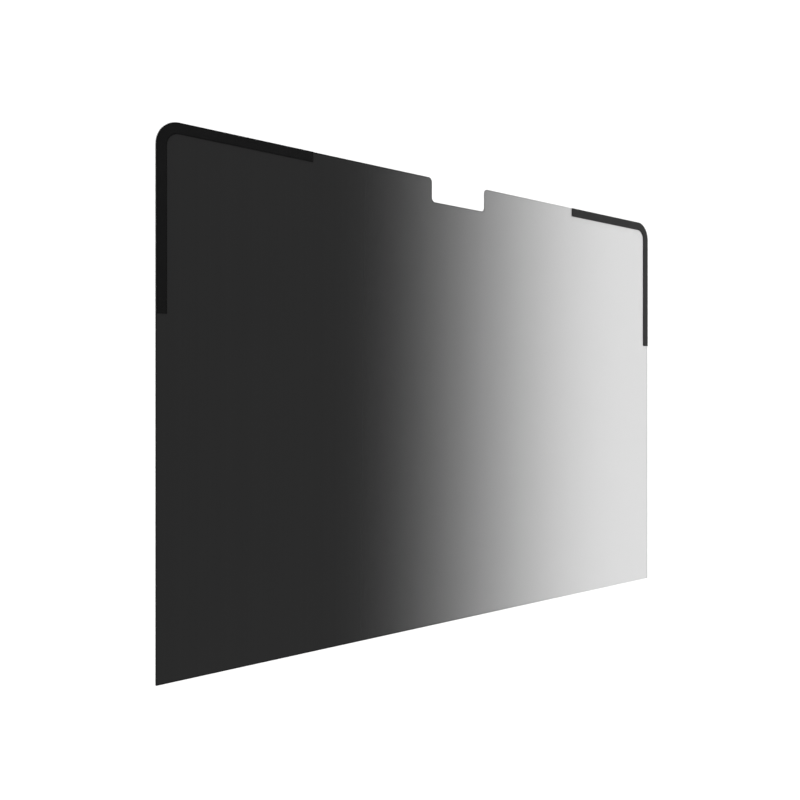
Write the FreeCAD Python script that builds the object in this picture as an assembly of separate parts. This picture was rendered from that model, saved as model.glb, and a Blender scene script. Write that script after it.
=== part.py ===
"""Laptop privacy filter: a dark film sheet with a camera notch and two L-shaped magnetic strips.

All sizes are millimetres. The filter lies on its back on the plane Z = 0. X runs along the
width, Y points to the notched top edge and Z points out of the face that carries the strips.
The origin is the middle of the back face. Left and right are as seen from the strip side.
"""

import FreeCAD
import Part
import math
import os

from FreeCAD import Vector

# The lit picture of the screen that the filter covers, and how far the sheet reaches past it.
SCREEN_WIDTH = 302.4
SCREEN_HEIGHT = 196.4
SCREEN_OVERLAP = 3.0

# The film sheet, a louvre film laminated between two clear skins and cut out as one piece.
SHEET_THICKNESS = 0.4
TOP_CORNER_RADIUS = 9.2
BOTTOM_CORNER_RADIUS = 0.3
SHEET_EDGE_BEVEL = 0.06

# The notch in the middle of the top edge, which leaves the camera free.
NOTCH_WIDTH = 34.8
NOTCH_DEPTH = 10.8
NOTCH_MOUTH_RADIUS = 2.0
NOTCH_FLOOR_RADIUS = 2.0

# The magnetic strips, flush with the sheet's outer edges at both top corners.
STRIP_WIDTH = 4.25
STRIP_THICKNESS = 0.3
STRIP_TOP_LEG = 69.8
STRIP_SIDE_LEG = 69.7
STRIP_END_RADIUS = 0.4
STRIP_EDGE_ROUND = 0.08

# The double-sided tape that holds each strip, cut a little smaller than the strip all round.
TAPE_THICKNESS = 0.05
TAPE_INSET = 0.3

# Lengths under this are taken as nothing when outlines are drawn and edges are picked.
TINY = 1e-6

# What follows from the sizes above.
HALF_WIDTH = SCREEN_WIDTH / 2 + SCREEN_OVERLAP
HALF_HEIGHT = SCREEN_HEIGHT / 2 + SCREEN_OVERLAP
TAPE_BASE = SHEET_THICKNESS
STRIP_BASE = TAPE_BASE + TAPE_THICKNESS


def rounded_corner(before, corner, after, radius):
    """The arc that rounds a corner between two straight sides, or None where it stays sharp."""
    back = (before - corner).normalize()
    onward = (after - corner).normalize()
    opening = back.getAngle(onward)
    if radius < TINY:
        return None
    reach = radius / math.tan(opening / 2)
    middle = (back + onward).normalize()
    centre = corner + middle * (radius / math.sin(opening / 2))
    return Part.Arc(corner + back * reach, centre - middle * radius, corner + onward * reach)


def outline_face(corners):
    """A flat face inside a closed run of straight sides, each corner given as (x, y, radius)."""
    places = [Vector(x, y, 0) for x, y, _ in corners]
    count = len(corners)
    arcs = []
    for i, (_, _, radius) in enumerate(corners):
        arcs.append(rounded_corner(places[i - 1], places[i], places[(i + 1) % count], radius))
    edges = []
    for i, arc in enumerate(arcs):
        following = arcs[(i + 1) % count]
        start = arc.EndPoint if arc else places[i]
        end = following.StartPoint if following else places[(i + 1) % count]
        if arc:
            edges.append(arc.toShape())
        if start.distanceToPoint(end) > TINY:
            edges.append(Part.makeLine(start, end))
    return Part.Face(Part.Wire(edges))


def plate(corners, base, thickness):
    """A flat plate with the given outline, standing from one height to another."""
    solid = outline_face(corners).extrude(Vector(0, 0, thickness))
    solid.translate(Vector(0, 0, base))
    return solid


def edges_at_height(solid, height):
    """The edges of a plate that lie in one level plane."""
    return [
        edge for edge in solid.Edges
        if abs(edge.BoundBox.ZMin - height) < TINY and abs(edge.BoundBox.ZMax - height) < TINY
    ]


def sheet_corners():
    """The sheet's outline, from the bottom left corner round past the notch."""
    half_notch = NOTCH_WIDTH / 2
    notch_floor = HALF_HEIGHT - NOTCH_DEPTH
    return [
        (-HALF_WIDTH, -HALF_HEIGHT, BOTTOM_CORNER_RADIUS),
        (HALF_WIDTH, -HALF_HEIGHT, BOTTOM_CORNER_RADIUS),
        (HALF_WIDTH, HALF_HEIGHT, TOP_CORNER_RADIUS),
        (half_notch, HALF_HEIGHT, NOTCH_MOUTH_RADIUS),
        (half_notch, notch_floor, NOTCH_FLOOR_RADIUS),
        (-half_notch, notch_floor, NOTCH_FLOOR_RADIUS),
        (-half_notch, HALF_HEIGHT, NOTCH_MOUTH_RADIUS),
        (-HALF_WIDTH, HALF_HEIGHT, TOP_CORNER_RADIUS),
    ]


def left_strip_corners(inset):
    """An L round the sheet's top left corner, its bend on one centre with the sheet's corner."""
    outer_x = -HALF_WIDTH + inset
    inner_x = -HALF_WIDTH + STRIP_WIDTH - inset
    outer_y = HALF_HEIGHT - inset
    inner_y = HALF_HEIGHT - STRIP_WIDTH + inset
    top_end = -HALF_WIDTH + STRIP_TOP_LEG - inset
    side_end = HALF_HEIGHT - STRIP_SIDE_LEG + inset
    outer_bend = max(TOP_CORNER_RADIUS - inset, 0)
    inner_bend = max(TOP_CORNER_RADIUS - STRIP_WIDTH + inset, 0)
    end_radius = max(STRIP_END_RADIUS - inset, 0)
    return [
        (outer_x, side_end, end_radius),
        (inner_x, side_end, end_radius),
        (inner_x, inner_y, inner_bend),
        (top_end, inner_y, end_radius),
        (top_end, outer_y, end_radius),
        (outer_x, outer_y, outer_bend),
    ]


def make_filter_sheet():
    """The film sheet, with a fine bevel on the cut edges of both faces."""
    sheet = plate(sheet_corners(), 0, SHEET_THICKNESS)
    rims = edges_at_height(sheet, 0) + edges_at_height(sheet, SHEET_THICKNESS)
    return sheet.makeChamfer(SHEET_EDGE_BEVEL, rims)


def make_left_strip():
    """The left magnetic strip, its upper edges softly rounded."""
    strip = plate(left_strip_corners(0), STRIP_BASE, STRIP_THICKNESS)
    rim = edges_at_height(strip, STRIP_BASE + STRIP_THICKNESS)
    return strip.makeFillet(STRIP_EDGE_ROUND, rim)


def make_left_tape():
    """The tape between the left strip and the sheet."""
    return plate(left_strip_corners(TAPE_INSET), TAPE_BASE, TAPE_THICKNESS)


def mirrored_right(left):
    """The right-hand piece of a pair, the mirror image of the left-hand one."""
    return left.mirror(Vector(0, 0, 0), Vector(1, 0, 0))


def main():
    left_strip = make_left_strip()
    left_tape = make_left_tape()
    pieces = {
        "filter_sheet": make_filter_sheet(),
        "left_magnetic_strip": left_strip,
        "right_magnetic_strip": mirrored_right(left_strip),
        "left_strip_tape": left_tape,
        "right_strip_tape": mirrored_right(left_tape),
    }
    os.makedirs("parts", exist_ok=True)
    for name, shape in pieces.items():
        shape.exportStep(f"parts/{name}.step")


main()
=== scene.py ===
"""Looks of a laptop privacy filter that lies on a pale floor with its magnetic strips up.

The film sheet and the two tapes keep their solid shapes and get their finish here. The two
magnetic strips are swept along their own bent centre lines. All sizes are in metres.
"""

import math

import bpy
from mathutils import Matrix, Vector


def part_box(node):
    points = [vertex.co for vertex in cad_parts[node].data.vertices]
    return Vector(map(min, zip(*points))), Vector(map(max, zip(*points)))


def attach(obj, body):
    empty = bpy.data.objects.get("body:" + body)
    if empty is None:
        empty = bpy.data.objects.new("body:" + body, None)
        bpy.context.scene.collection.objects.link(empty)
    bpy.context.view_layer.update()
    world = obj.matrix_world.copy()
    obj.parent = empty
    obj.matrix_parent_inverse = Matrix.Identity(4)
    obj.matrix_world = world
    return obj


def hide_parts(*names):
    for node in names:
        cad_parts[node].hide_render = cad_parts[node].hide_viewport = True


bl_info = {
    "name": "Laptop privacy filter",
    "version": (1, 0, 0),
    "blender": (4, 5, 0),
    "location": "3D View > Sidebar > Privacy filter",
    "description": "Makes the finish of a laptop privacy filter with magnetic corner strips",
    "category": "Object",
}

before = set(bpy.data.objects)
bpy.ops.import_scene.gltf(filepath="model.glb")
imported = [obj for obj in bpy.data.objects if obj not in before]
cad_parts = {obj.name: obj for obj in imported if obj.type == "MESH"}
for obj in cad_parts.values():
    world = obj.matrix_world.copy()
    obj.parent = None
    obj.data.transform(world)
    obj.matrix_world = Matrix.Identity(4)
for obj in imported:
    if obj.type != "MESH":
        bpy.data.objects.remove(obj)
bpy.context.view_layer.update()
SHEET_LOW, SHEET_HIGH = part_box("filter_sheet")
STRIP_LOW, STRIP_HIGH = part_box("left_magnetic_strip")
MM = 0.001

# The middle part of a fine noise and of a patchy one, where nearly all of it lies.
NOISE_RANGE = (0.3, 0.7)
PATCH_RANGE = (0.35, 0.65)

# How far up a surface looks, from 0 to 1: where a cut edge ends and where a flat face begins.
WALL_TO_FACE = (0.3, 0.8)

# The film's streaks: length against width, swing of the shade, and of the clearness against it.
STREAK_STRETCH = (1, 4000, 1)
STREAK_SHADE = 0.03
STREAK_CLEARNESS = 0.01

# The film's pressed rim: width of its darkest part, its shade and how much denser it is.
RIM_CORE = 0.2 * MM
RIM_SHADE = 0.65
RIM_DENSITY = 1.15

# The film's cut edge: where a skin starts between middle and face, its light, and what passes.
SKIN_HEIGHTS = (0.5, 0.7)
SKIN_LIGHT = 0.5
EDGE_PASSES = 0.9

# The film's matt coat: size of its patches, swing of its roughness, relief, streaks and gloss.
COAT_PATCH = 45 * MM
COAT_SWING = 0.02
COAT_RELIEF = 0.004 * MM
COAT_STREAKS = 0.6
COAT_GLOSS = 0.25

# The rubber's grain: swing of its shade.
GRAIN_SHADE = 0.2

# The rubber's rolled lines: width, length against width, swing of the shade, share of relief.
LINE_SIZE = 0.25 * MM
LINE_STRETCH = (60, 1, 1)
LINE_SHADE = 0.07
LINE_RELIEF = 0.5

# The rubber's surface: size of its patches, swing of its roughness and relief.
RUBBER_PATCH = 6 * MM
RUBBER_SWING = 0.02
RUBBER_RELIEF = 0.006 * MM

# The rubber's borders and cut edges: the painted shade that darkens them, and a cut edge's added
# roughness.
PAINTED_BORDER_SHADE = 0.45
PAINTED_CUT_SHADE = 0.4
CUT_ROUGHNESS = 0.5

# The tape's bubbles: swing of the shade, swing of the roughness and relief.
BUBBLE_SHADE = 0.25
BUBBLE_SWING = 0.1
BUBBLE_RELIEF = 0.005 * MM

# The strips' edges: least turn of a sharp one, least rise of an upright one, and bevel steps.
SHARP_TURN = math.radians(45)
LEAST_RISE = 1e-6
BEVEL_STEPS = 4

# The floor: size of its patches, swing of their shade and roughness.
FLOOR_PATCH = 0.4
FLOOR_SWING = 0.005
FLOOR_ROUGHNESS = 0.9

# The direction from the filter to the key light.
KEY_DIRECTION = (-0.75, -0.10, 1.0)

# Where the studio's soft panels start and end, from 0 at the horizon to 1 overhead.
PANEL_START = (0.50, 0.60)
PANEL_END = (0.61, 0.68)

# The least distance that the camera shows.
CAMERA_NEAR = 10 * MM

WHITE = (1.0, 1.0, 1.0, 1.0)


class SheetFinish(bpy.types.PropertyGroup):
    """The film sheet's outline and finish."""

    corner_radius: bpy.props.FloatProperty(
        name="Corner radius", description="Rounding of the two top corners",
        default=9.2 * MM, unit="LENGTH")
    notch_width: bpy.props.FloatProperty(
        name="Notch width", description="Width of the camera notch",
        default=34.8 * MM, unit="LENGTH")
    notch_depth: bpy.props.FloatProperty(
        name="Notch depth", description="Depth of the camera notch below the top edge",
        default=10.8 * MM, unit="LENGTH")
    notch_radius: bpy.props.FloatProperty(
        name="Notch radius", description="Rounding of the notch's mouth and floor",
        default=2.0 * MM, unit="LENGTH")
    rim_width: bpy.props.FloatProperty(
        name="Rim width", description="Width of the darker rim that the cutting die presses",
        default=0.8 * MM, unit="LENGTH")
    dark_colour: bpy.props.FloatVectorProperty(
        name="Dark colour", description="Colour of the film where its louvres look shut",
        default=(0.0163, 0.0163, 0.0164, 1.0), size=4, min=0.0, max=1.0, subtype="COLOR")
    fade_start: bpy.props.FloatProperty(
        name="Fade start", description="Distance from the left edge where the film starts to clear",
        default=69.6 * MM, unit="LENGTH")
    fade_end: bpy.props.FloatProperty(
        name="Fade end", description="Distance from the left edge where the film is clearest",
        default=311.9 * MM, unit="LENGTH")
    fade_lean: bpy.props.FloatProperty(
        name="Fade lean", description="How far the fade leans to the right, as a share of its rise",
        default=0.0145, min=-1.0, max=1.0)
    clearness: bpy.props.FloatProperty(
        name="Clearness", description="Share of a white ground's brightness seen through the clear end",
        default=0.595, min=0.0, max=1.0, subtype="FACTOR")
    back_passes: bpy.props.FloatVectorProperty(
        name="Back passes", description="Share of light that the back passes at the left and right edge",
        default=(0.6, 0.95), size=2, min=0.01, max=1.0)
    roughness: bpy.props.FloatProperty(
        name="Roughness", description="Roughness of the matt coat",
        default=0.42, min=0.0, max=1.0, subtype="FACTOR")
    louvre_streak: bpy.props.FloatProperty(
        name="Louvre streak", description="Usual width of the faint upright streaks",
        default=0.9 * MM, unit="LENGTH")
    coat_grain: bpy.props.FloatProperty(
        name="Coat grain", description="Grain size of the matt coat",
        default=0.12 * MM, unit="LENGTH")


class StripFinish(bpy.types.PropertyGroup):
    """The magnetic strips' section, bend and finish."""

    width: bpy.props.FloatProperty(
        name="Width", description="Width of each strip",
        default=4.25 * MM, unit="LENGTH")
    bend_radius: bpy.props.FloatProperty(
        name="Bend radius", description="Outer radius of the bend, the same as the sheet's corner",
        default=9.2 * MM, unit="LENGTH")
    bend_steps: bpy.props.IntProperty(
        name="Bend steps", description="Number of straight pieces that the bend is drawn with",
        default=24, min=2)
    end_rounding: bpy.props.FloatProperty(
        name="End rounding", description="Rounding of the strip's cut ends",
        default=0.4 * MM, unit="LENGTH")
    edge_share: bpy.props.FloatProperty(
        name="Edge share", description="Rounding of the upper edges as a share of the end rounding",
        default=0.25, min=0.0, max=1.0, subtype="FACTOR")
    # Width of the painted shade that darkens the strip towards both borders.
    painted_shade_band: bpy.props.FloatProperty(
        name="Edge band", description="Width of the darker band along both borders",
        default=0.7 * MM, unit="LENGTH")
    colour: bpy.props.FloatVectorProperty(
        name="Colour", description="Colour of the magnetic rubber",
        default=(0.0058, 0.0058, 0.0059, 1.0), size=4, min=0.0, max=1.0, subtype="COLOR")
    roughness: bpy.props.FloatProperty(
        name="Roughness", description="Roughness of the magnetic rubber",
        default=0.25, min=0.0, max=1.0, subtype="FACTOR")
    grain: bpy.props.FloatProperty(
        name="Grain", description="Grain size of the magnetic rubber",
        default=0.22 * MM, unit="LENGTH")


class TapeFinish(bpy.types.PropertyGroup):
    """The double-sided tapes' finish."""

    colour: bpy.props.FloatVectorProperty(
        name="Colour", description="Colour of the adhesive tape",
        default=(0.012, 0.012, 0.012, 1.0), size=4, min=0.0, max=1.0, subtype="COLOR")
    roughness: bpy.props.FloatProperty(
        name="Roughness", description="Roughness of the adhesive",
        default=0.5, min=0.0, max=1.0, subtype="FACTOR")
    grain: bpy.props.FloatProperty(
        name="Grain", description="Size of the small bubbles in the adhesive",
        default=0.5 * MM, unit="LENGTH")


class StageSetting(bpy.types.PropertyGroup):
    """Floor, light and camera."""

    floor_size: bpy.props.FloatProperty(
        name="Floor size", description="Length of the floor's sides",
        default=12.0, unit="LENGTH")
    floor_gap: bpy.props.FloatProperty(
        name="Floor gap", description="Space between the floor and the filter's back",
        default=0.05 * MM, unit="LENGTH")
    floor_colour: bpy.props.FloatVectorProperty(
        name="Floor colour", description="Colour of the floor",
        default=(0.90, 0.90, 0.90, 1.0), size=4, min=0.0, max=1.0, subtype="COLOR")
    key_strength: bpy.props.FloatProperty(
        name="Key strength", description="Strength of the soft key light",
        default=3.98, min=0.0)
    key_spread: bpy.props.FloatProperty(
        name="Key spread", description="How large the key light looks from the filter",
        default=math.radians(20), subtype="ANGLE")
    zenith_light: bpy.props.FloatProperty(
        name="Zenith light", description="Brightness of the studio overhead",
        default=0.03, min=0.0)
    panel_light: bpy.props.FloatProperty(
        name="Panel light", description="Brightness of the soft panels round the studio",
        default=0.82, min=0.0)
    wall_light: bpy.props.FloatProperty(
        name="Wall light", description="Brightness of the studio walls below the panels",
        default=0.40, min=0.0)
    lens: bpy.props.FloatProperty(
        name="Lens", description="Focal length on a 36 mm sensor, in millimetres",
        default=42.94, min=1.0)
    view_turn: bpy.props.FloatProperty(
        name="View turn", description="Angle between the camera's line of sight and the upright",
        default=math.radians(42.146), subtype="ANGLE")
    view_place: bpy.props.FloatVectorProperty(
        name="View place", description="Where the camera stands",
        default=(-0.31774, 0.00069, 0.31069), size=3, subtype="TRANSLATION")


def add_node(tree, kind, settings=None, inputs=None):
    """A new node. A socket among the inputs is linked, and anything else is set as it is."""
    node = tree.nodes.new(kind)
    for name, value in (settings or {}).items():
        setattr(node, name, value)
    for key, value in (inputs or {}).items():
        if isinstance(value, bpy.types.NodeSocket):
            tree.links.new(value, node.inputs[key])
        else:
            node.inputs[key].default_value = value
    return node


def calc(tree, operation, *values):
    """The result of one sum on sockets or numbers."""
    node = add_node(tree, "ShaderNodeMath", {"operation": operation}, dict(enumerate(values)))
    return node.outputs[0]


def part_of(tree, vector, axis):
    """One of a vector's three numbers, counted from 0."""
    return add_node(tree, "ShaderNodeSeparateXYZ", None, {0: vector}).outputs[axis]


def remap(tree, value, old, new, kind="LINEAR"):
    """A value carried over from one range to another and held inside it."""
    inputs = {0: value, 1: old[0], 2: old[1], 3: new[0], 4: new[1]}
    return add_node(tree, "ShaderNodeMapRange", {"interpolation_type": kind}, inputs).outputs[0]


def blend(tree, share, first, second):
    """The first value where the share is 0, the second where it is 1."""
    return remap(tree, share, (0.0, 1.0), (first, second))


def noise(tree, place, size, detail, stretch=(1, 1, 1)):
    """Noise from 0 to 1 with the given feature size, stretched along any axis."""
    scale = tuple(1 / (size * part) for part in stretch)
    spread = add_node(
        tree, "ShaderNodeVectorMath", {"operation": "MULTIPLY"}, {0: place, 1: scale})
    texture = add_node(
        tree, "ShaderNodeTexNoise", None,
        {"Vector": spread.outputs[0], "Scale": 1.0, "Detail": detail})
    return texture.outputs[0]


def vary(tree, pattern, middle, swing, span=NOISE_RANGE):
    """A value that swings to both sides of its middle with a noise."""
    return remap(tree, pattern, span, (middle - swing, middle + swing))


def start_material(name):
    """A new node material with its main shader and its object coordinates."""
    material = bpy.data.materials.new(name)
    material.use_nodes = True
    tree = material.node_tree
    shader = tree.nodes["Principled BSDF"]
    place = tree.nodes.new("ShaderNodeTexCoord").outputs["Object"]
    return material, tree, shader, place


def tint(tree, colour, brightness):
    """A colour made lighter or darker by a factor."""
    scaled = add_node(
        tree, "ShaderNodeVectorMath", {"operation": "SCALE"},
        {0: tuple(colour[:3]), "Scale": brightness})
    return scaled.outputs[0]


def roughen(tree, shader, height, depth):
    """A fine relief on a material's surface."""
    bump = add_node(
        tree, "ShaderNodeBump", None, {"Strength": 1.0, "Distance": depth, "Height": height})
    tree.links.new(bump.outputs[0], shader.inputs["Normal"])


def length_of(tree, first, second):
    """The long side of a right triangle."""
    joined = add_node(tree, "ShaderNodeCombineXYZ", None, {0: first, 1: second})
    length = add_node(
        tree, "ShaderNodeVectorMath", {"operation": "LENGTH"}, {0: joined.outputs[0]})
    return length.outputs["Value"]


def round_corner(tree, first, second, radius):
    """Distance from an outward corner of that radius, given the distances from its two sides."""
    short = [calc(tree, "MAXIMUM", calc(tree, "SUBTRACT", radius, side), 0.0)
             for side in (first, second)]
    return calc(tree, "SUBTRACT", radius, length_of(tree, *short))


def distance_from_rim(tree, x, y, finish):
    """How far a point of the sheet lies from its cut edge, the camera notch included."""
    across = calc(tree, "ABSOLUTE", x)
    side = calc(tree, "SUBTRACT", SHEET_HIGH.x, across)
    top = calc(tree, "SUBTRACT", SHEET_HIGH.y, y)
    bottom = calc(tree, "SUBTRACT", y, SHEET_LOW.y)
    radius = finish.notch_radius
    beside = calc(tree, "SUBTRACT", across, finish.notch_width / 2 - radius)
    below = calc(tree, "SUBTRACT", SHEET_HIGH.y - finish.notch_depth + radius, y)
    reach = length_of(
        tree, calc(tree, "MAXIMUM", beside, 0.0), calc(tree, "MAXIMUM", below, 0.0))
    notch = calc(tree, "SUBTRACT", reach, radius)
    corner = round_corner(tree, side, top, finish.corner_radius)
    mouth = round_corner(tree, notch, top, radius)
    return calc(tree, "MINIMUM", calc(tree, "MINIMUM", corner, mouth), bottom)


def cut_wall(tree):
    """1 on the upright cut edges of a flat piece and 0 on its faces."""
    normal = add_node(tree, "ShaderNodeNewGeometry").outputs["Normal"]
    facing = calc(tree, "ABSOLUTE", part_of(tree, normal, 2))
    return remap(tree, facing, WALL_TO_FACE, (1.0, 0.0))


def louvre_film(finish):
    """Dark louvre film that clears from left to right under a matt coat, with pressed rims."""
    material, tree, shader, place = start_material("louvre film")
    x, y, z = add_node(tree, "ShaderNodeSeparateXYZ", None, {0: place}).outputs
    streaks = noise(tree, place, finish.louvre_streak, detail=3.0, stretch=STREAK_STRETCH)
    patches = noise(tree, place, COAT_PATCH, detail=2.0)
    grain = noise(tree, place, finish.coat_grain, detail=1.0)
    inward = distance_from_rim(tree, x, y, finish)
    rim = remap(tree, inward, (RIM_CORE, finish.rim_width), (1.0, 0.0), "SMOOTHSTEP")

    # The skins stand out a little on the cut edge, with the dark louvres between them.
    wall = cut_wall(tree)
    middle = (SHEET_LOW.z + SHEET_HIGH.z) / 2
    half = (SHEET_HIGH.z - SHEET_LOW.z) / 2
    depth = calc(tree, "ABSOLUTE", calc(tree, "SUBTRACT", z, middle))
    skin = remap(tree, depth, tuple(share * half for share in SKIN_HEIGHTS), (0.0, 1.0))
    skin_light = calc(tree, "MULTIPLY", calc(tree, "MULTIPLY", wall, skin), SKIN_LIGHT)

    # A ground seen through the sheet is dimmed four times: its light passes two faces each way.
    # The back dims about evenly and the front does the rest, so neither has a hard start.
    start, end = (SHEET_LOW.x + reach for reach in (finish.fade_start, finish.fade_end))
    across = calc(tree, "SUBTRACT", x, calc(tree, "MULTIPLY", y, finish.fade_lean))
    seen = remap(tree, across, (start, end), (0.0, finish.clearness), "SMOOTHERSTEP")
    seen = calc(tree, "MULTIPLY", seen, vary(tree, streaks, 1.0, -STREAK_CLEARNESS))
    seen = calc(tree, "POWER", seen, blend(tree, rim, 1.0, RIM_DENSITY))
    back = remap(tree, x, (SHEET_LOW.x, SHEET_HIGH.x), finish.back_passes)
    front = calc(tree, "DIVIDE", calc(tree, "SQRT", seen), back)
    upper = remap(tree, z, (SHEET_LOW.z, SHEET_HIGH.z), (0.0, 1.0))
    through = blend(tree, calc(tree, "MAXIMUM", upper, wall), back, front)
    through = calc(tree, "MULTIPLY", through, blend(tree, wall, 1.0, EDGE_PASSES))
    cover = calc(tree, "SUBTRACT", 1.0, through)
    tree.links.new(cover, shader.inputs["Alpha"])

    # The matt coat scatters as much light where the film clears, so its colour is milkier there.
    shade = vary(tree, streaks, 1.0, STREAK_SHADE)
    shade = calc(tree, "MULTIPLY", shade, blend(tree, rim, 1.0, RIM_SHADE))
    shade = calc(tree, "DIVIDE", calc(tree, "ADD", shade, skin_light), cover)
    tree.links.new(tint(tree, finish.dark_colour, shade), shader.inputs["Base Color"])

    rough = vary(tree, patches, finish.roughness, COAT_SWING, PATCH_RANGE)
    tree.links.new(rough, shader.inputs["Roughness"])
    relief = calc(tree, "ADD", grain, calc(tree, "MULTIPLY", streaks, COAT_STREAKS))
    roughen(tree, shader, relief, COAT_RELIEF)
    shader.inputs["Specular IOR Level"].default_value = COAT_GLOSS
    return material


def magnetic_rubber(finish):
    """Matt black magnetic rubber with a fine grain, rolled lines along the strip, and painted shade on
    its borders and cut edges.
    """
    material, tree, shader, place = start_material("magnetic rubber")
    run = add_node(tree, "ShaderNodeAttribute", {"attribute_name": "strip_run"}).outputs["Vector"]
    grain = noise(tree, place, finish.grain, detail=3.0)
    lines = noise(tree, run, LINE_SIZE, detail=2.0, stretch=LINE_STRETCH)
    patches = noise(tree, place, RUBBER_PATCH, detail=2.0)
    wall = cut_wall(tree)

    across = calc(tree, "ABSOLUTE", part_of(tree, run, 1))
    inward = calc(tree, "SUBTRACT", finish.width / 2, across)
    # Painted shade: darker towards both borders, as a rounded edge would look where it turns from the
    # light.
    painted_border_shade = remap(tree, inward, (0.0, finish.painted_shade_band), (PAINTED_BORDER_SHADE, 1.0), "SMOOTHSTEP")
    shade = vary(tree, grain, 1.0, GRAIN_SHADE)
    shade = calc(tree, "MULTIPLY", shade, vary(tree, lines, 1.0, LINE_SHADE))
    shade = calc(tree, "MULTIPLY", shade, painted_border_shade)
    # Painted shade: the cut edges are darkened so that their lit walls look as dark as the strip.
    shade = calc(tree, "MULTIPLY", shade, blend(tree, wall, 1.0, PAINTED_CUT_SHADE))
    tree.links.new(tint(tree, finish.colour, shade), shader.inputs["Base Color"])

    rough = vary(tree, patches, finish.roughness, RUBBER_SWING, PATCH_RANGE)
    rough = calc(tree, "ADD", rough, calc(tree, "MULTIPLY", wall, CUT_ROUGHNESS))
    tree.links.new(rough, shader.inputs["Roughness"])
    relief = calc(tree, "ADD", grain, calc(tree, "MULTIPLY", lines, LINE_RELIEF))
    roughen(tree, shader, relief, RUBBER_RELIEF)
    return material


def adhesive_tape(finish):
    """Black double-sided tape with small bubbles in its adhesive."""
    material, tree, shader, place = start_material("adhesive tape")
    bubbles = noise(tree, place, finish.grain, detail=3.0)
    shade = vary(tree, bubbles, 1.0, BUBBLE_SHADE)
    tree.links.new(tint(tree, finish.colour, shade), shader.inputs["Base Color"])
    rough = vary(tree, bubbles, finish.roughness, BUBBLE_SWING)
    tree.links.new(rough, shader.inputs["Roughness"])
    roughen(tree, shader, bubbles, BUBBLE_RELIEF)
    return material


def add_inputs(tree, sizes):
    """Named inputs on a Geometry Nodes tree, and the identifier of each by its name."""
    tree.interface.new_socket(name="Geometry", in_out="INPUT", socket_type="NodeSocketGeometry")
    tree.interface.new_socket(name="Geometry", in_out="OUTPUT", socket_type="NodeSocketGeometry")
    return {
        name: tree.interface.new_socket(name=name, in_out="INPUT", socket_type=kind).identifier
        for name, kind in sizes.items()
    }


def keep_value(tree, geometry, name, value):
    """Notes a number on a geometry's points, and gives the geometry and the number."""
    kept = add_node(tree, "GeometryNodeCaptureAttribute", None, {0: geometry})
    kept.capture_items.new("FLOAT", name)
    tree.links.new(value, kept.inputs[1])
    return kept.outputs[0], kept.outputs[1]


def centre_line(tree, given):
    """The strip's bent centre line, and the run along it at each point."""
    step = tree.nodes.new("GeometryNodeInputIndex").outputs[0]
    corners = (given["Side End"], given["Bend"], given["Top End"])
    places = add_node(tree, "GeometryNodeIndexSwitch", {"data_type": "VECTOR"})
    places.index_switch_items.new()
    for key, value in enumerate((step, *corners)):
        tree.links.new(value, places.inputs[key])
    points = add_node(tree, "GeometryNodeMeshLine", None, {"Count": len(corners)})
    bent = add_node(
        tree, "GeometryNodeSetPosition", None, {0: points.outputs[0], "Position": places.outputs[0]})
    line = add_node(tree, "GeometryNodeMeshToCurve", None, {0: bent.outputs[0]})
    half_width = calc(tree, "MULTIPLY", given["Width"], 0.5)
    rounded = add_node(
        tree, "GeometryNodeFilletCurve", {"mode": "POLY"},
        {"Curve": line.outputs[0], "Count": given["Bend Steps"],
         "Radius": calc(tree, "SUBTRACT", given["Bend Radius"], half_width)})
    length = add_node(tree, "GeometryNodeSplineParameter").outputs["Length"]
    kept, along = keep_value(tree, rounded.outputs[0], "Along", length)
    upright = add_node(tree, "GeometryNodeSetCurveNormal", {"mode": "Z_UP"}, {0: kept})
    return upright.outputs[0], along


def edge_weight(tree, given, spot):
    """How much each edge is rounded: the cut ends fully, the upper edges by their share."""
    edge = tree.nodes.new("GeometryNodeInputMeshEdgeVertices").outputs
    span = add_node(
        tree, "ShaderNodeVectorMath", {"operation": "SUBTRACT"},
        {0: edge["Position 1"], 1: edge["Position 2"]})
    rise = calc(tree, "ABSOLUTE", part_of(tree, span.outputs[0], 2))
    upright_edge = calc(tree, "GREATER_THAN", rise, LEAST_RISE)
    height = part_of(tree, spot, 2)
    upper_edge = calc(tree, "GREATER_THAN", height, part_of(tree, given["Bend"], 2))
    turn = tree.nodes.new("GeometryNodeInputMeshEdgeAngle").outputs["Unsigned Angle"]
    sharp = calc(tree, "GREATER_THAN", turn, SHARP_TURN)
    upper_weight = calc(tree, "MULTIPLY", upper_edge, given["Edge Share"])
    return calc(tree, "MULTIPLY", calc(tree, "MAXIMUM", upright_edge, upper_weight), sharp)


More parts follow.
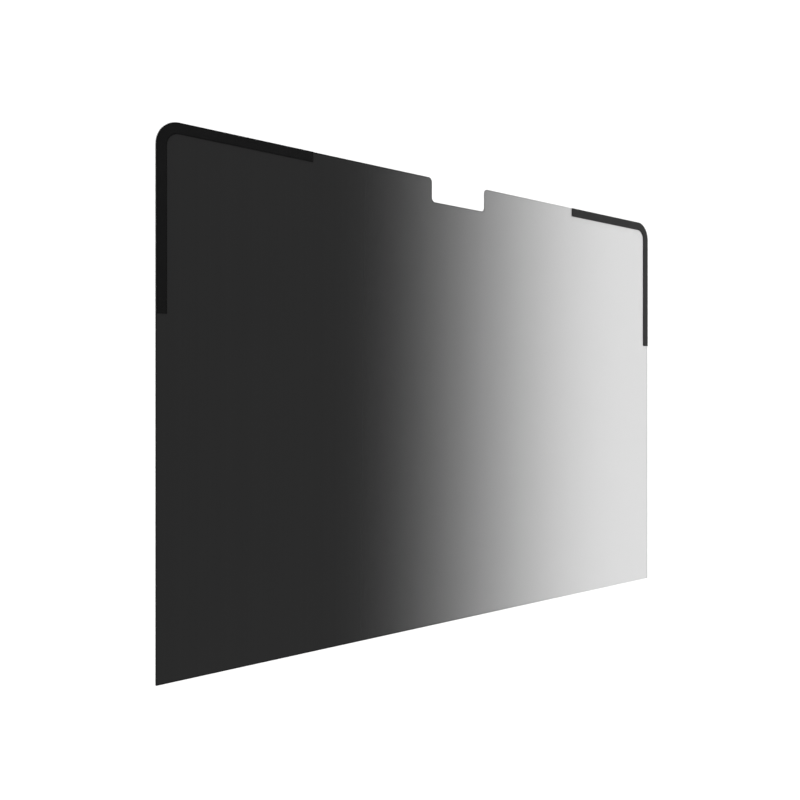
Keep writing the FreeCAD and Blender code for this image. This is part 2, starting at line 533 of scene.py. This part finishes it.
def strip_tree():
    """A tree that sweeps a flat section along a strip's bent centre line.

    The centre line runs from the end of the side leg round the bend to the end of the top
    leg. Each point keeps its run along and across the strip for the material, and the edges
    that a die rounds are weighted for the bevel.
    """
    tree = bpy.data.node_groups.new("strip along its centre line", "GeometryNodeTree")
    tree.is_modifier = True
    names = add_inputs(tree, {
        "Side End": "NodeSocketVector", "Bend": "NodeSocketVector", "Top End": "NodeSocketVector",
        "Width": "NodeSocketFloat", "Thickness": "NodeSocketFloat",
        "Bend Radius": "NodeSocketFloat", "Bend Steps": "NodeSocketInt",
        "Edge Share": "NodeSocketFloat", "Material": "NodeSocketMaterial",
    })
    given = tree.nodes.new("NodeGroupInput").outputs
    line, along = centre_line(tree, given)

    section = add_node(
        tree, "GeometryNodeCurvePrimitiveQuadrilateral", None,
        {"Width": given["Width"], "Height": given["Thickness"]})
    spot = tree.nodes.new("GeometryNodeInputPosition").outputs[0]
    profile, across = keep_value(tree, section.outputs[0], "Across", part_of(tree, spot, 0))
    swept = add_node(
        tree, "GeometryNodeCurveToMesh", None,
        {"Curve": line, "Profile Curve": profile, "Fill Caps": True})

    run = add_node(tree, "ShaderNodeCombineXYZ", None, {0: along, 1: across})
    noted = add_node(
        tree, "GeometryNodeStoreNamedAttribute", {"data_type": "FLOAT_VECTOR", "domain": "POINT"},
        {0: swept.outputs[0], "Name": "strip_run", "Value": run.outputs[0]})
    weighted = add_node(
        tree, "GeometryNodeStoreNamedAttribute", {"data_type": "FLOAT", "domain": "EDGE"},
        {0: noted.outputs[0], "Name": "bevel_weight_edge",
         "Value": edge_weight(tree, given, spot)})

    real = add_node(tree, "GeometryNodeRealizeInstances", None, {0: weighted.outputs[0]})
    faceted = add_node(
        tree, "GeometryNodeSetShadeSmooth", None, {0: real.outputs[0], "Shade Smooth": False})
    painted = add_node(
        tree, "GeometryNodeSetMaterial", None,
        {0: faceted.outputs[0], "Material": given["Material"]})
    tree.links.new(painted.outputs[0], tree.nodes.new("NodeGroupOutput").inputs[0])
    return tree, names


def strip_piece(name, side, finish, tree, names, material):
    """One magnetic strip, at the left for side -1 and at the right for side 1."""
    piece = bpy.data.objects.new(name, bpy.data.meshes.new(name))
    bpy.context.scene.collection.objects.link(piece)
    middle = finish.width / 2
    height = (STRIP_LOW.z + STRIP_HIGH.z) / 2
    line_x = side * (SHEET_HIGH.x - middle)
    line_y = SHEET_HIGH.y - middle
    sizes = {
        "Side End": (line_x, STRIP_LOW.y, height),
        "Bend": (line_x, line_y, height),
        "Top End": (-side * STRIP_HIGH.x, line_y, height),
        "Width": finish.width,
        "Thickness": STRIP_HIGH.z - STRIP_LOW.z,
        "Bend Radius": finish.bend_radius,
        "Bend Steps": finish.bend_steps,
        "Edge Share": finish.edge_share,
        "Material": material,
    }
    sweep = piece.modifiers.new("sweep", "NODES")
    sweep.node_group = tree
    for size, value in sizes.items():
        sweep[names[size]] = value
    bevel = piece.modifiers.new("rounded edges", "BEVEL")
    bevel.limit_method = "WEIGHT"
    bevel.width = finish.end_rounding
    bevel.segments = BEVEL_STEPS
    solved = piece.evaluated_get(bpy.context.evaluated_depsgraph_get())
    piece.data = bpy.data.meshes.new_from_object(solved)
    piece.modifiers.clear()
    return piece


def dress(node, material):
    """Gives a solid of the frame its finish."""
    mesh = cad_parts[node].data
    mesh.materials.clear()
    mesh.materials.append(material)


class FILTER_OT_film_sheet(bpy.types.Operator):
    """Finish the film sheet"""

    bl_idname = "privacy_filter.film_sheet"
    bl_label = "Film sheet"

    def execute(self, context):
        dress("filter_sheet", louvre_film(context.scene.filter_sheet_finish))
        return {"FINISHED"}


class FILTER_OT_magnetic_strips(bpy.types.Operator):
    """Sweep the two magnetic strips along the sheet's top corners"""

    bl_idname = "privacy_filter.magnetic_strips"
    bl_label = "Magnetic strips"

    def execute(self, context):
        finish = context.scene.filter_strip_finish
        rubber = magnetic_rubber(finish)
        tree, names = strip_tree()
        for word, side in (("left", -1), ("right", 1)):
            piece = strip_piece(f"{word}_rubber_strip", side, finish, tree, names, rubber)
            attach(piece, "root")
            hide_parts(f"{word}_magnetic_strip")
        return {"FINISHED"}


class FILTER_OT_strip_tapes(bpy.types.Operator):
    """Finish the two tapes under the magnetic strips"""

    bl_idname = "privacy_filter.strip_tapes"
    bl_label = "Strip tapes"

    def execute(self, context):
        tape = adhesive_tape(context.scene.filter_tape_finish)
        for word in ("left", "right"):
            dress(f"{word}_strip_tape", tape)
        return {"FINISHED"}


def pale_floor(setting):
    """A plain pale floor just under the filter."""
    material, tree, shader, place = start_material("pale floor")
    patches = noise(tree, place, FLOOR_PATCH, detail=1.0)
    shade = vary(tree, patches, 1.0, FLOOR_SWING)
    tree.links.new(tint(tree, setting.floor_colour, shade), shader.inputs["Base Color"])
    shader.inputs["Roughness"].default_value = FLOOR_ROUGHNESS
    shader.inputs["Specular IOR Level"].default_value = 0.0
    half = setting.floor_size / 2
    height = SHEET_LOW.z - setting.floor_gap
    corners = [(half * x, half * y, height) for x, y in ((-1, -1), (1, -1), (1, 1), (-1, 1))]
    mesh = bpy.data.meshes.new("floor")
    mesh.from_pydata(corners, [], [(0, 1, 2, 3)])
    mesh.materials.append(material)
    floor = bpy.data.objects.new("floor", mesh)
    bpy.context.scene.collection.objects.link(floor)


def key_light(setting):
    """A wide soft key light from above the camera, which isn't mirrored in glossy surfaces."""
    lamp = bpy.data.lights.new("key light", "SUN")
    lamp.energy = setting.key_strength
    lamp.angle = setting.key_spread
    key = bpy.data.objects.new("key light", lamp)
    key.rotation_euler = Vector(KEY_DIRECTION).to_track_quat("Z", "Y").to_euler()
    key.visible_glossy = False
    bpy.context.scene.collection.objects.link(key)


def studio(setting):
    """A studio that is dim overhead, with soft panels round it, and white behind the floor."""
    world = bpy.data.worlds.new("studio")
    world.use_nodes = True
    tree = world.node_tree
    tree.nodes.clear()
    towards = tree.nodes.new("ShaderNodeTexCoord").outputs["Generated"]
    height = part_of(tree, towards, 2)
    lower = remap(tree, height, PANEL_START, (setting.wall_light, setting.panel_light), "SMOOTHSTEP")
    glow = remap(tree, height, PANEL_END, (lower, setting.zenith_light), "SMOOTHSTEP")
    soft = add_node(tree, "ShaderNodeBackground", None, {"Color": WHITE, "Strength": glow})
    white = add_node(tree, "ShaderNodeBackground", None, {"Color": WHITE, "Strength": 1.0})
    seen = tree.nodes.new("ShaderNodeLightPath").outputs["Is Camera Ray"]
    either = add_node(
        tree, "ShaderNodeMixShader", None, {0: seen, 1: soft.outputs[0], 2: white.outputs[0]})
    tree.links.new(either.outputs[0], tree.nodes.new("ShaderNodeOutputWorld").inputs["Surface"])
    bpy.context.scene.world = world


def photo_camera(setting):
    """A camera that looks down on the filter from its left, with the notched edge up."""
    data = bpy.data.cameras.new("camera")
    data.lens = setting.lens
    data.clip_start = CAMERA_NEAR
    camera = bpy.data.objects.new("camera", data)
    camera.location = setting.view_place
    camera.rotation_euler = (0.0, -setting.view_turn, 0.0)
    bpy.context.scene.collection.objects.link(camera)
    bpy.context.scene.camera = camera


class FILTER_OT_stage(bpy.types.Operator):
    """Set the pale floor, the soft light and the camera"""

    bl_idname = "privacy_filter.stage"
    bl_label = "Stage"

    def execute(self, context):
        setting = context.scene.filter_stage_setting
        pale_floor(setting)
        key_light(setting)
        studio(setting)
        photo_camera(setting)
        context.scene.view_settings.view_transform = "Standard"
        return {"FINISHED"}


OPERATORS = (
    FILTER_OT_film_sheet,
    FILTER_OT_magnetic_strips,
    FILTER_OT_strip_tapes,
    FILTER_OT_stage,
)
SETTINGS = {
    "filter_sheet_finish": SheetFinish,
    "filter_strip_finish": StripFinish,
    "filter_tape_finish": TapeFinish,
    "filter_stage_setting": StageSetting,
}


class FILTER_PT_sidebar(bpy.types.Panel):
    """The filter's pieces and their sizes and colours"""

    bl_label = "Privacy filter"
    bl_idname = "FILTER_PT_sidebar"
    bl_space_type = "VIEW_3D"
    bl_region_type = "UI"
    bl_category = "Privacy filter"

    def draw(self, context):
        for operator, name in zip(OPERATORS, SETTINGS):
            box = self.layout.box()
            box.operator(operator.bl_idname)
            group = getattr(context.scene, name)
            for size in group.bl_rna.properties.keys():
                if size not in ("rna_type", "name"):
                    box.prop(group, size)


def register():
    for group in (*SETTINGS.values(), *OPERATORS, FILTER_PT_sidebar):
        bpy.utils.register_class(group)
    for name, group in SETTINGS.items():
        setattr(bpy.types.Scene, name, bpy.props.PointerProperty(type=group))


def unregister():
    for name in SETTINGS:
        delattr(bpy.types.Scene, name)
    for group in (FILTER_PT_sidebar, *OPERATORS, *SETTINGS.values()):
        bpy.utils.unregister_class(group)


def main():
    register()
    bpy.ops.privacy_filter.film_sheet()
    bpy.ops.privacy_filter.magnetic_strips()
    bpy.ops.privacy_filter.strip_tapes()
    bpy.ops.privacy_filter.stage()


if __name__ == "__main__":
    main()
